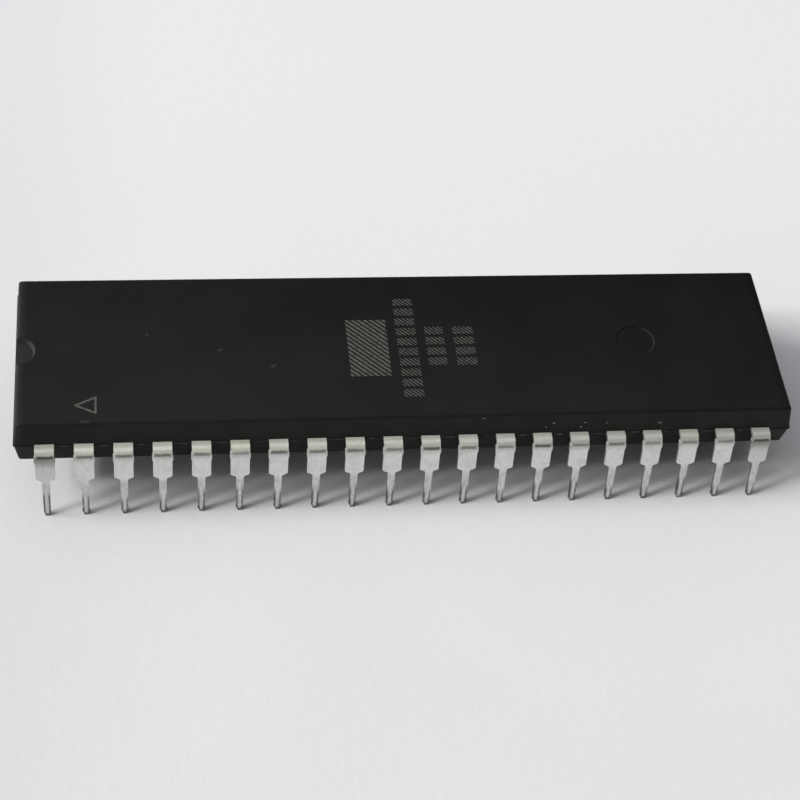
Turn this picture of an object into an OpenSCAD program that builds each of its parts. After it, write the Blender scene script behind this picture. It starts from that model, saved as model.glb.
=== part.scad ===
// Dual in-line integrated circuit in a plastic package, with its leads in two rows. Sizes in millimetres.
// The rows run along X. Lead 1 is at the -X end of the near row (-Y). Z = 0 is the plane of the lead tips.

/* [Rows] */
// Leads in each row
row_n = 20; // [14:1:24]
// Distance from one lead of a row to the next
pitch = 2.54; // [2.4:0.02:2.6]
// Distance from each side of the body to the outer faces of its leads, under their bends
shoulder_reach = 0.78; // [0.7:0.02:1.2]

/* [Body] */
// Width of the moulded body at its parting line
body_w = 13.7; // [13.3:0.02:14]
// Distance from the centre of the last lead to the end of the body, on the average of its two ends
end_reach = 2.05; // [1.8:0.05:3]
// Distance by which the body stands off the middle of its rows of leads, towards +X
mould_shift = 0.08; // [0:0.01:0.15]
// Height of the moulding above the parting line
top_h = 1.76; // [1.5:0.02:2.2]
// Height of the moulding under the parting line
under_h = 1.74; // [1.5:0.02:2.2]
// Draft of the two ends above the parting line, in degrees
top_end_draft = 5; // [4:0.5:15]
// Draft of the two long sides above the parting line, in degrees
top_side_draft = 10; // [5:0.5:15]
// Draft of the two ends under the parting line, in degrees
under_end_draft = 8; // [4:0.5:15]
// Draft of the two long sides under the parting line, in degrees
under_side_draft = 9.5; // [5:0.5:15]
// Radius of the four upright corners
corner_r = 0.2; // [0.1:0.02:0.5]
// Radius that softens the edges of the top and the underside
edge_r = 0.24; // [0.1:0.02:0.4]
// Width of the thin rim of flash that stands out along the parting line
flash_w = 0.04; // [0.02:0.01:0.08]
// Thickness of that rim
flash_t = 0.06; // [0.04:0.01:0.12]

/* [Marks of the mould] */
// Radius of the half-round notch at the end that holds lead 1
notch_r = 1.25; // [0.8:0.05:1.6]
// Depth of the notch under the top face
notch_depth = 0.4; // [0.2:0.05:0.8]
// Draft of the walls of the notch and of the ejector dimples, in degrees
pit_draft = 30; // [10:1:40]
// Diameter of the dimples that the ejector pins leave
ejector_d = 2.7; // [1.5:0.1:3.5]
// Depth of an ejector dimple
ejector_depth = 0.06; // [0.04:0.01:0.2]
// Distance of the ejector dimple on the top face from the middle of the body
top_ejector_x = 16.2; // [12:0.1:18]
// Distance of each ejector dimple on the underside from the middle of the body
under_ejector_x = 20; // [14:0.5:21]

/* [Leads] */
// Thickness of the lead frame's sheet
sheet_t = 0.254; // [0.2:0.002:0.3]
// Width of a lead at its shoulder
wide_w = 1.26; // [1.04:0.02:1.6]
// Width of the pin, the narrow part that enters the board, under the step
pin_w = 0.5; // [0.36:0.02:0.56]
// Loss of that width on the way down to where the tip begins
pin_taper = 0.06; // [0:0.01:0.12]
// Length of the pin, from the step to the tip
pin_l = 3; // [2.8:0.05:3.6]
// Clearance between the step of a lead and the underside of the body
standoff = 0.55; // [0.3:0.05:0.9]
// Inner radius of the bend at the shoulder
bend_r = 0.22; // [0.16:0.02:0.3]
// Outward lean of the leads of an unused part, in degrees
splay = 9.5; // [0:0.5:12]
// Slope of the edges at the step, in degrees
step_slope = 24; // [0:1:35]
// Cut of the corners at the step
step_cut = 0.06; // [0.04:0.01:0.12]
// Fillet between the step and the pin
step_fillet = 0.06; // [0.04:0.01:0.1]
// Length of the taper at the tip
tip_l = 0.45; // [0.2:0.05:1.2]
// Width of the tip at its end
tip_w = 0.24; // [0.16:0.02:0.34]
// Width of the stub that the trimmed dam bar leaves on each edge of a lead
dam_stub = 0.05; // [0.02:0.01:0.1]
// Height of that stub
dam_h = 0.5; // [0.3:0.02:0.7]

/* [Lead frame inside the body] */
// Length by which the wide stem of a lead reaches into the body
stem_in = 1; // [0.9:0.02:1.1]
// Diameter of the hole in each stem that the moulding locks into
lock_d = 0.44; // [0.3:0.02:0.5]
// Width of a finger on its way from the stem to the die pad
finger_w = 0.26; // [0.22:0.02:0.32]
// Width of a finger beside the die pad
fingertip_w = 0.2; // [0.16:0.02:0.24]
// Gap that is left between the die pad with its tie bars and the fingers
frame_gap = 0.2; // [0.18:0.01:0.26]
// Fingers of each row that come to each end of the die pad
end_n = 5; // [3:1:5]
// Distance between those fingers beside the die pad
end_pitch = 0.44; // [0.42:0.01:0.5]
// Length of the die pad along the rows
pad_l = 7; // [6.4:0.1:7.6]
// Width of the tie bars that carry the die pad
tie_w = 0.46; // [0.4:0.02:0.6]
// Drop of the die pad under the fingers
pad_drop = 0.3; // [0.2:0.02:0.36]

/* [Die and wires] */
// Length of the silicon die along the rows
die_l = 4.2; // [3.4:0.1:4.6]
// Width of the silicon die
die_w = 3.6; // [3.2:0.1:4]
// Thickness of the silicon die
die_t = 0.38; // [0.3:0.01:0.5]
// Thickness of the adhesive under the die
glue_t = 0.04; // [0.02:0.01:0.08]
// Diameter of a bond wire
wire_d = 0.04; // [0.03:0.005:0.06]
// Height of a bond wire's loop over the line between its ends
wire_rise = 0.22; // [0.18:0.01:0.3]
// Distance of the bonds from the edge of the die and from the end of a finger
bond_in = 0.2; // [0.16:0.01:0.3]

/* [Hidden] */
$fn = 48;
// Overlap of cutters with the space outside, and of two solids of one piece
over = 0.5;
lap = 0.1;
lead_n = 2 * row_n;

// Levels, from the board up
step_z = pin_l;
under_z = step_z + standoff;
part_z = under_z + under_h;
top_z = part_z + top_h;
sheet_top_z = part_z + sheet_t / 2;
pad_top_z = sheet_top_z - pad_drop;
die_z = pad_top_z + glue_t;
die_top_z = die_z + die_t;

// The body at its parting line, and how far the ends of its top are drawn in from there
body_l = (row_n - 1) * pitch + 2 * end_reach;
top_inset = top_h * tan(top_end_draft);

// The bend of the leads: its outer radius, its centre, and the level at which the leg leaves it
outer_r = bend_r + sheet_t;
bend_y = body_w / 2 + shoulder_reach - outer_r * cos(splay);
bend_z = sheet_top_z - outer_r;
leg_z = bend_z + outer_r * sin(splay);

// Die pad: as wide as the fingers that come to its ends need
pad_w = tie_w + 2 * (frame_gap + end_n * end_pitch);
pad_end_x = pad_l / 2 + frame_gap;
pad_side_y = pad_w / 2 + frame_gap;
side_n = row_n - 2 * end_n;
side_pitch = pad_l / side_n;
// Inner end of a stem, and the end of the neck that leads on to its finger
neck_l = 0.35;
stem_y = stem_in - body_w / 2;
neck_y = stem_y + neck_l;
// Straight run of the first finger beside the pad
run_l = 0.4;
// What each next finger adds to that run, at the ends of the pad and at its sides
end_run_step = 1.2;
side_run_step = (-neck_y - pad_side_y - run_l) / (side_n / 2);
// Level run of a tie bar outside the pad, and the run of its slope for each unit of drop
tie_run = 0.4;
drop_run = 1.5;
// Share of a die edge that its bonds take up
bonded = 0.86;
// Adhesive that squeezes out round the die
squeeze = 0.12;
// Sides of a bond wire, which is too thin to show as round
wire_sides = 8;
// Steps of the rounded corners and edges of the moulding
corner_steps = 6;
edge_steps = 4;

function lead_name(i) = str("lead_", i < 10 ? "0" : "", i);

// Place of lead i: its side of the body (-1 near, 1 far), and its number along X from 0
function side(i) = i <= row_n ? -1 : 1;
function along(i) = i <= row_n ? i - 1 : lead_n - i;
function lead_x(k) = (k - (row_n - 1) / 2) * pitch;
// Number of a lead counted from the nearer end of the row, and the direction of that end
function rank(k) = min(k, row_n - 1 - k);
function end_dir(k) = k < row_n / 2 ? -1 : 1;

// Closed outline of a strip: left and right edges of a path whose width is given at each point
function unit(v) = v / norm(v);
function normal(p, j) =
    let (a = unit(p[max(j, 1)] - p[max(j, 1) - 1]),
         b = unit(p[min(j + 1, len(p) - 1)] - p[min(j + 1, len(p) - 1) - 1]),
         m = unit(a + b))
    [-m[1], m[0]] / sqrt((1 + a * b) / 2);
function strip(p, w) =
    concat([for (j = [0:len(p) - 1]) p[j] + normal(p, j) * w[j] / 2],
           [for (j = [len(p) - 1:-1:0]) p[j] - normal(p, j) * w[j] / 2]);

// Path of a finger of the near row, from its shoulder to the die pad
function end_level(k) = tie_w / 2 + frame_gap + (rank(k) + 0.5) * end_pitch;
function tip_point(k) =
    rank(k) < end_n
        ? [end_dir(k) * pad_end_x, -end_level(k)]
        : [(k - (row_n - 1) / 2) * side_pitch, -pad_side_y];
function elbow_point(k) =
    rank(k) < end_n
        ? tip_point(k) + [end_dir(k) * (run_l + (end_n - 1 - rank(k)) * end_run_step), 0]
        : tip_point(k) - [0, run_l + (rank(k) - end_n) * side_run_step];
function finger_path(k) =
    let (x = lead_x(k))
    [[x, -bend_y], [x, stem_y], [x, neck_y], elbow_point(k), tip_point(k)];
finger_widths = [wide_w, wide_w, finger_w, finger_w, fingertip_w];

// Bonds of a finger's wire: on the finger, and on the edge of the die that faces it
function finger_bond(k) =
    let (t = tip_point(k), e = elbow_point(k))
    concat(t + unit(e - t) * bond_in, sheet_top_z);
function die_bond(k) =
    rank(k) < end_n
        ? [end_dir(k) * (die_l / 2 - bond_in), -(rank(k) + 0.5) * bonded * die_w / 2 / end_n, die_top_z]
        : [(k - (row_n - 1) / 2) * bonded * die_l / side_n, -die_w / 2 + bond_in, die_top_z];

// Ring of points round the moulding, drawn in from the outline at its parting line
quarters = [[1, 1], [-1, 1], [-1, -1], [1, -1]];
function ring(end_inset, side_inset, z) =
    let (hub_x = body_l / 2 - end_inset - corner_r, hub_y = body_w / 2 - side_inset - corner_r)
    [for (q = [0:3]) for (s = [0:corner_steps])
        let (turn = 90 * (q + s / corner_steps))
        [quarters[q][0] * hub_x + corner_r * cos(turn), quarters[q][1] * hub_y + corner_r * sin(turn), z]];

// How far a half of height h is drawn in at a turn of its rounded edge, from its side to its flat face
function edge_inset(h, draft, turn) = (h - edge_r) * tan(draft) + edge_r * (1 / cos(draft) - cos(turn));

// One half of the moulding, standing on the parting line: drafted sides and a rounded upper edge
module half_form(h, end_draft, side_draft) {
    ring_n = len(quarters) * (corner_steps + 1);
    start = max(end_draft, side_draft);
    rings = concat(
        [ring(0, 0, 0)],
        [for (s = [0:edge_steps])
            let (turn = start + (90 - start) * s / edge_steps, z = h - edge_r + edge_r * sin(turn))
            ring(edge_inset(h, end_draft, turn), edge_inset(h, side_draft, turn), z)]);
    last = len(rings) - 1;
    polyhedron(
        points = [for (r = rings) each r],
        faces = concat(
            [[for (i = [0:ring_n - 1]) i]],
            [for (j = [0:last - 1]) for (i = [0:ring_n - 1])
                let (n = (i + 1) % ring_n)
                [j * ring_n + i, (j + 1) * ring_n + i, (j + 1) * ring_n + n, j * ring_n + n]],
            [[for (i = [ring_n - 1:-1:0]) last * ring_n + i]]));
}

// Both halves, and the rim of flash between them
module closed_form() {
    translate([0, 0, part_z]) {
        half_form(top_h, top_end_draft, top_side_draft);
        mirror([0, 0, 1]) half_form(under_h, under_end_draft, under_side_draft);
    }
    translate([0, 0, part_z - flash_t / 2])
        linear_extrude(flash_t)
            polygon([for (p = ring(-flash_w, -flash_w, 0)) [p[0], p[1]]]);
}

// Cutter of a round pit in a face at Z = 0: its wall widens upwards, on past the face
module pit(r, depth) {
    translate([0, 0, -depth])
        cylinder(r1 = r - depth * tan(pit_draft), r2 = r + over * tan(pit_draft), h = depth + over);
}

// Outside of the moulding: the form with its half-round notch in the top edge of the end that holds lead 1,
// one ejector dimple on the top face and a pair on the underside
module body_form() {
    translate([mould_shift, 0, 0])
        difference() {
            closed_form();
            translate([top_inset - body_l / 2, 0, top_z]) pit(notch_r, notch_depth);
            translate([top_ejector_x, 0, top_z]) pit(ejector_d / 2, ejector_depth);
            for (x = [-under_ejector_x, under_ejector_x])
                translate([x, 0, under_z]) mirror([0, 0, 1]) pit(ejector_d / 2, ejector_depth);
        }
}

// Flat part of a lead of the near row: shoulder, stem with its lock hole, and finger
module lead_flat(k) {
    translate([0, 0, part_z - sheet_t / 2])
        linear_extrude(sheet_t)
            difference() {
                polygon(strip(finger_path(k), finger_widths));
                translate([lead_x(k), (stem_in - body_w) / 2]) circle(d = lock_d);
            }
}

// Section of the bend and the leg: the sheet turns down and leans outwards by the splay
module leg_section() {
    translate([bend_y - lap, sheet_top_z - sheet_t]) square([lap, sheet_t]);
    translate([bend_y, bend_z]) {
        intersection() {
            difference() {
                circle(r = outer_r);
                circle(r = bend_r);
            }
            polygon(2 * outer_r * [[0, 0], [cos(splay), sin(splay)], [1, 1], [0, 1]]);
        }
        rotate(splay) translate([bend_r, -top_z]) square([sheet_t, top_z]);
    }
}

// Level of the step's sloped edge at a distance x from the middle of the lead
function step_level(x) = step_z + (x - pin_w / 2) * tan(step_slope);

// Front of the bend and the leg: shoulder with the stubs of the dam bar, step, and pin with its tapered tip
module leg_front() {
    half = [
        [wide_w / 2, top_z],
        [wide_w / 2, leg_z],
        [wide_w / 2 + dam_stub, leg_z - dam_stub],
        [wide_w / 2 + dam_stub, leg_z - dam_h + dam_stub],
        [wide_w / 2, leg_z - dam_h],
        [wide_w / 2, step_level(wide_w / 2) + step_cut],
        [wide_w / 2 - step_cut, step_level(wide_w / 2 - step_cut)],
        [pin_w / 2 + step_fillet, step_level(pin_w / 2 + step_fillet)],
        [pin_w / 2, step_z - step_fillet],
        [(pin_w - pin_taper) / 2, tip_l],
        [tip_w / 2, 0]
    ];
    polygon(concat(half, [for (j = [len(half) - 1:-1:0]) [-half[j][0], half[j][1]]]));
}

module leg(k) {
    translate([lead_x(k), 0, 0])
        intersection() {
            rotate([90, 0, -90]) linear_extrude(2 * wide_w, center = true) leg_section();
            rotate([90, 0, 0]) linear_extrude(body_w) leg_front();
        }
}

module lead(i) {
    color("gainsboro")
        mirror([0, (side(i) + 1) / 2, 0]) {
            lead_flat(along(i));
            leg(along(i));
        }
}

// Die pad in one piece with its tie bars, which rise from the pad to the level of the fingers
module die_pad() {
    color("silver") {
        translate([-pad_l / 2, -pad_w / 2, pad_top_z - sheet_t]) cube([pad_l, pad_w, sheet_t]);
        for (dir = [-1, 1]) tie_bar(dir);
    }
}

module tie_bar(dir) {
    drop_x = pad_l / 2 + tie_run;
    path = [
        [dir * (pad_l / 2 - lap), part_z - pad_drop],
        [dir * drop_x, part_z - pad_drop],
        [dir * (drop_x + pad_drop * drop_run), part_z],
        [dir * body_l / 2 + mould_shift, part_z]
    ];
    rotate([90, 0, 0])
        linear_extrude(tie_w, center = true)
            polygon(strip(path, [for (p = path) sheet_t]));
}

module slab(l, w, t, z) {
    translate([-l / 2, -w / 2, z]) cube([l, w, t]);
}

module die_adhesive() {
    color("dimgray") slab(die_l + 2 * squeeze, die_w + 2 * squeeze, glue_t, pad_top_z);
}

module silicon_die() {
    color("slategray") slab(die_l, die_w, die_t, die_z);
}

// Arc of wire from point a to point b, run on a little past both
module wire_arc(a, b) {
    chord = norm(b - a);
    arc_r = (chord * chord / 4 + wire_rise * wire_rise) / (2 * wire_rise);
    reach = asin(chord / 2 / arc_r) + atan(wire_d / arc_r);
    translate((a + b) / 2)
        rotate([0, -asin((b[2] - a[2]) / chord), atan2(b[1] - a[1], b[0] - a[0])])
            translate([0, 0, wire_rise - arc_r])
                rotate([90, reach - 90, 0])
                    rotate_extrude(angle = 2 * reach)
                        translate([arc_r, 0]) circle(d = wire_d, $fn = wire_sides);
}

// A wire for each lead, with its ends cut off level on the die and on its finger
module bond_wires() {
    color("gold")
        difference() {
            for (i = [1:lead_n])
                mirror([0, (side(i) + 1) / 2, 0])
                    wire_arc(die_bond(along(i)), finger_bond(along(i)));
            slab(die_l, die_w, die_t, die_z);
            translate([0, 0, sheet_top_z - sheet_t])
                linear_extrude(sheet_t)
                    difference() {
                        square([body_l, body_w], center = true);
                        square([pad_l, pad_w], center = true);
                    }
        }
}

// The moulding, cast round everything that it holds
module body() {
    color([0.14, 0.14, 0.13])
        difference() {
            body_form();
            notch();
            ejector_dimples();
            for (i = [1:lead_n])
                mirror([0, (side(i) + 1) / 2, 0]) lead_flat(along(i));
            die_pad();
            die_adhesive();
            silicon_die();
            bond_wires();
        }
}

body();
die_pad();
die_adhesive();
silicon_die();
bond_wires();
for (i = [1:lead_n])
    lead(i);
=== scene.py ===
"""Looks of a dual in-line integrated circuit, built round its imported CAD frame.

The moulding, the leads and the parts inside are the frame's own nodes and get their finishes here.
Three kinds of small repeated detail are added with Geometry Nodes: beads of tin at the tips of the leads,
slivers of resin flash between the leads, and crumbs on the near side of the moulding. Lengths are in metres.
"""

import logging
import math
from dataclasses import dataclass, field
from enum import Enum
from typing import ClassVar, Optional, Sequence, Union

import bpy
from mathutils import Matrix, Vector


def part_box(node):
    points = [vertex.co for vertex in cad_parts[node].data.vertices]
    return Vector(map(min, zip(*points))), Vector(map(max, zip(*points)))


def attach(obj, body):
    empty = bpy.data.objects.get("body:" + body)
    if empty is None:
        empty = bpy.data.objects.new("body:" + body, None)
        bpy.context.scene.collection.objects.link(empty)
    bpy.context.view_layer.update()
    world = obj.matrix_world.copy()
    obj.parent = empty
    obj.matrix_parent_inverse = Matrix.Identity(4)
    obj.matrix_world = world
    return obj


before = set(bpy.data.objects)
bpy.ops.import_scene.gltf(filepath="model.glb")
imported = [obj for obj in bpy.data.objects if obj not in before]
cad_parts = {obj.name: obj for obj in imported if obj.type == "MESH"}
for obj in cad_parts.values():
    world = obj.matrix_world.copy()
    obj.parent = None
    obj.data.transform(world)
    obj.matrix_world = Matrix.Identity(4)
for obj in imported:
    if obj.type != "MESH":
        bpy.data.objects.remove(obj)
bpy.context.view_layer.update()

BODY = "root"
MM = 0.001

Colour = tuple[float, float, float]
Point = tuple[float, float, float]
Span = tuple[float, float]
Socket = bpy.types.NodeSocket
Value = Union[Socket, float, Sequence[float]]

log = logging.getLogger("dual_in_line_circuit")


def mm(*lengths: float) -> tuple[float, ...]:
    """Turns millimetres into metres."""
    return tuple(length * MM for length in lengths)


class Slot(Enum):
    """Material slots of the record."""

    MOULDING = "moulding"
    TINNED_LEAD = "tinned_lead"
    DIE_PAD = "die_pad_metal"
    ADHESIVE = "adhesive"
    SILICON = "silicon"
    GOLD_WIRE = "gold_wire"


@dataclass(frozen=True)
class PackageSizes:
    """Sizes of the package that several pieces share, as in the part's source."""

    leads_in_row: int = 20
    pitch: float = 2.54 * MM
    pin_width: float = 0.5 * MM
    pin_taper: float = 0.06 * MM
    tip_length: float = 0.45 * MM
    tip_width: float = 0.24 * MM
    sheet: float = 0.254 * MM
    body_length: float = 52.36 * MM
    body_width: float = 13.7 * MM
    part_height: float = 5.29 * MM
    crease_height: float = 5.02 * MM
    step_height: float = 3.0 * MM
    splay_deg: float = 9.5
    upper_draft_deg: float = 10.0

    @property
    def half_length(self) -> float:
        """Distance from the middle of the body to one of its ends at its parting line."""
        return self.body_length / 2

    @property
    def half_width(self) -> float:
        """Distance from the middle plane to a side of the body at its parting line."""
        return self.body_width / 2


class Graph:
    """Short calls for building one node tree."""

    def __init__(self, tree: bpy.types.NodeTree) -> None:
        """Keeps the tree that nodes are added to."""
        self.tree = tree

    def add(self, kind: str, inputs: Optional[dict[Union[str, int], Value]] = None,
            **settings: object) -> bpy.types.Node:
        """Adds a node, sets its options and fills its sockets.

        Args:
            kind: The node's type name.
            inputs: Values or sockets by the name, identifier or number of the input they go to.
            **settings: Options of the node, such as its operation.

        Returns:
            The new node.
        """
        node = self.tree.nodes.new(kind)
        for name, value in settings.items():
            setattr(node, name, value)
        for name, value in (inputs or {}).items():
            self.feed(self.find(node, name), value)
        return node

    @staticmethod
    def find(node: bpy.types.Node, name: Union[str, int]) -> Socket:
        """Finds an input by its number, its identifier or its name."""
        if isinstance(name, int):
            return node.inputs[name]
        for socket in node.inputs:
            if socket.identifier == name:
                return socket
        return node.inputs[name]

    def feed(self, socket: Socket, value: Value) -> None:
        """Links an output to an input, or writes a number or a tuple on it."""
        if isinstance(value, bpy.types.NodeSocket):
            self.tree.links.new(value, socket)
        elif socket.type == "RGBA" and len(value) == 3:
            socket.default_value = (*value, 1.0)
        else:
            socket.default_value = value

    def math(self, operation: str, *values: Value, clamp: bool = False) -> Socket:
        """Adds a Math node on up to three values and returns its output."""
        node = self.add("ShaderNodeMath", dict(enumerate(values)), operation=operation, use_clamp=clamp)
        return node.outputs[0]

    def plus(self, first: Value, second: Value, clamp: bool = False) -> Socket:
        """Adds two numbers."""
        return self.math("ADD", first, second, clamp=clamp)

    def minus(self, first: Value, second: Value) -> Socket:
        """Takes the second number from the first."""
        return self.math("SUBTRACT", first, second)

    def times(self, first: Value, second: Value) -> Socket:
        """Multiplies two numbers."""
        return self.math("MULTIPLY", first, second)

    def vector(self, operation: str, *values: Value, output: str = "Vector") -> Socket:
        """Adds a Vector Math node and returns the named output."""
        node = self.add("ShaderNodeVectorMath", dict(enumerate(values)), operation=operation)
        return node.outputs[output]

    def parts(self, vector: Value) -> tuple[Socket, Socket, Socket]:
        """Splits a vector into its three numbers."""
        node = self.add("ShaderNodeSeparateXYZ", {0: vector})
        return node.outputs[0], node.outputs[1], node.outputs[2]

    def join(self, x: Value, y: Value, z: Value) -> Socket:
        """Makes a vector of three numbers."""
        return self.add("ShaderNodeCombineXYZ", {0: x, 1: y, 2: z}).outputs[0]

    def ramp(self, value: Value, low: Value, high: Value, to_low: Value = 0.0,
             to_high: Value = 1.0) -> Socket:
        """Maps low to high smoothly onto to_low to to_high, and holds the value beyond them."""
        inputs = {"Value": value, "From Min": low, "From Max": high, "To Min": to_low, "To Max": to_high}
        node = self.add("ShaderNodeMapRange", inputs, interpolation_type="SMOOTHSTEP")
        return node.outputs[0]

    def mix(self, share: Value, first: Value, second: Value, blend: str = "MIX") -> Socket:
        """Mixes two colours by the share of the second, in the named blend mode."""
        inputs = {"Factor_Float": share, "A_Color": first, "B_Color": second}
        node = self.add("ShaderNodeMix", inputs, data_type="RGBA", blend_type=blend)
        return next(o for o in node.outputs if o.identifier == "Result_Color")

    def tint(self, colour: Value, shade: Value) -> Socket:
        """Multiplies a colour by a number."""
        return self.mix(1.0, colour, self.join(shade, shade, shade), blend="MULTIPLY")

    def noise(self, point: Value, scale: float, detail: float = 2.0, roughness: float = 0.5) -> Socket:
        """Adds a noise texture with so many features in a metre and returns its value."""
        inputs = {"Vector": point, "Scale": scale, "Detail": detail, "Roughness": roughness}
        return self.add("ShaderNodeTexNoise", inputs).outputs[0]

    def group(self, tree: bpy.types.NodeTree, **inputs: Value) -> bpy.types.Node:
        """Adds a node group; inputs are named with an underscore for each space."""
        node = self.tree.nodes.new("ShaderNodeGroup")
        node.node_tree = tree
        for name, value in inputs.items():
            self.feed(node.inputs[name.replace("_", " ")], value)
        return node


class GroupMaker:
    """Makes a node group with named inputs and outputs."""

    KINDS = {float: "NodeSocketFloat", int: "NodeSocketInt", Vector: "NodeSocketVector"}

    def __init__(self, name: str, kind: str = "ShaderNodeTree") -> None:
        """Starts an empty group of the given kind."""
        self.tree = bpy.data.node_groups.new(name, kind)
        self.graph = Graph(self.tree)
        self.entry = self.tree.nodes.new("NodeGroupInput")
        self.exit = self.tree.nodes.new("NodeGroupOutput")

    def input(self, name: str, kind: object, default: object = None) -> Socket:
        """Adds a named input.

        Args:
            name: Name of the input.
            kind: float, int, Vector, or the name of a socket type.
            default: Value that it has when nothing is set.

        Returns:
            The socket inside the group.
        """
        kind = self.KINDS.get(kind, kind)
        item = self.tree.interface.new_socket(name=name, in_out="INPUT", socket_type=kind)
        if default is not None:
            item.default_value = default
        return next(s for s in self.entry.outputs if s.identifier == item.identifier)

    def output(self, name: str, kind: object, value: Socket) -> None:
        """Adds a named output and links a value to it."""
        kind = self.KINDS.get(kind, kind)
        item = self.tree.interface.new_socket(name=name, in_out="OUTPUT", socket_type=kind)
        socket = next(s for s in self.exit.inputs if s.identifier == item.identifier)
        self.tree.links.new(value, socket)


class Effects:
    """Shader node groups that the finishes share, each built once."""

    def __init__(self, sizes: PackageSizes) -> None:
        """Builds the groups.

        Args:
            sizes: Sizes that the patterns follow.
        """
        self.sizes = sizes
        self.grain = self._grain()
        self.smudges = self._smudges()
        self.stroke = self._stroke()
        self.patch = self._patch()
        self.lead_place = self._lead_place(sizes)

    @staticmethod
    def _grain() -> bpy.types.NodeTree:
        """Fine speckle of a surface: a shade to multiply its colour by, and a height for its bump."""
        maker = GroupMaker("Surface grain")
        g = maker.graph
        point = maker.input("Point", Vector)
        scale = maker.input("Scale", float, 4000.0)
        contrast = maker.input("Contrast", float, 0.1)
        fine = g.noise(point, scale, 3.0, 0.6)
        swing = g.times(g.minus(fine, 0.5), contrast)
        maker.output("Shade", float, g.plus(1.0, g.times(swing, 2.0)))
        maker.output("Height", float, fine)
        return maker.tree

    @staticmethod
    def _smudges() -> bpy.types.NodeTree:
        """Cloudy stains: a mask that is 1 in the middle of a stain."""
        maker = GroupMaker("Smudges")
        g = maker.graph
        point = maker.input("Point", Vector)
        scale = maker.input("Scale", float, 1000.0)
        spread = maker.input("Spread", float, 0.5)
        softness = maker.input("Softness", float, 0.1)
        inputs = {"Vector": point, "Scale": scale, "Detail": 3.0, "Roughness": 0.55, "Distortion": 0.6}
        cloud = g.add("ShaderNodeTexNoise", inputs).outputs[0]
        edge = g.minus(1.0, spread)
        mask = g.ramp(cloud, g.minus(edge, softness), g.plus(edge, softness))
        maker.output("Mask", float, mask)
        return maker.tree

    @staticmethod
    def _stroke() -> bpy.types.NodeTree:
        """A straight stroke between two points: a mask that is 1 on the stroke."""
        maker = GroupMaker("Stroke")
        g = maker.graph
        point = maker.input("Point", Vector)
        start = maker.input("Start", Vector)
        end = maker.input("End", Vector)
        half = maker.input("Half width", float, 0.05 * MM)
        softness = maker.input("Softness", float, 0.03 * MM)
        along = g.vector("SUBTRACT", end, start)
        offset = g.vector("SUBTRACT", point, start)
        length_squared = g.vector("DOT_PRODUCT", along, along, output="Value")
        covered = g.vector("DOT_PRODUCT", offset, along, output="Value")
        share = g.math("DIVIDE", covered, length_squared, clamp=True)
        scale = g.add("ShaderNodeVectorMath", {0: along, "Scale": share}, operation="SCALE").outputs[0]
        distance = g.vector("LENGTH", g.vector("SUBTRACT", offset, scale), output="Value")
        maker.output("Mask", float, g.ramp(distance, half, g.plus(half, softness), 1.0, 0.0))
        return maker.tree

    @staticmethod
    def _patch() -> bpy.types.NodeTree:
        """A rectangle in the plane of the board: a mask that is 1 inside."""
        maker = GroupMaker("Patch")
        g = maker.graph
        point = maker.input("Point", Vector)
        centre = maker.input("Centre", Vector)
        half = maker.input("Half size", Vector)
        softness = maker.input("Softness", float, 0.03 * MM)
        offset = g.vector("ABSOLUTE", g.vector("SUBTRACT", point, centre))
        inside_x, inside_y, _ = g.parts(g.vector("SUBTRACT", half, offset))
        depth = g.math("MINIMUM", inside_x, inside_y)
        maker.output("Mask", float, g.ramp(depth, 0.0, softness))
        return maker.tree

    @staticmethod
    def _lead_place(sizes: PackageSizes) -> bpy.types.NodeTree:
        """Where a point lies on its own lead.

        Args:
            sizes: Sizes of the package.

        Returns:
            A group that gives the distance along the row from the middle of the lead, the distance from the
            middle plane of the package, the height, and a colour that differs from lead to lead.
        """
        maker = GroupMaker("Place on a lead")
        g = maker.graph
        x, y, z = g.parts(maker.input("Point", Vector))
        cell = g.math("DIVIDE", x, sizes.pitch)
        number = g.math("FLOOR", cell)
        across = g.times(g.minus(g.minus(cell, number), 0.5), sizes.pitch)
        key = g.join(number, g.math("SIGN", y), 7.0)
        chance = g.add("ShaderNodeTexWhiteNoise", {"Vector": key}, noise_dimensions="3D")
        maker.output("Across", float, across)
        maker.output("Outward", float, g.math("ABSOLUTE", y))
        maker.output("Height", float, z)
        maker.output("Chances", Vector, chance.outputs["Color"])
        return maker.tree


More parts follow.
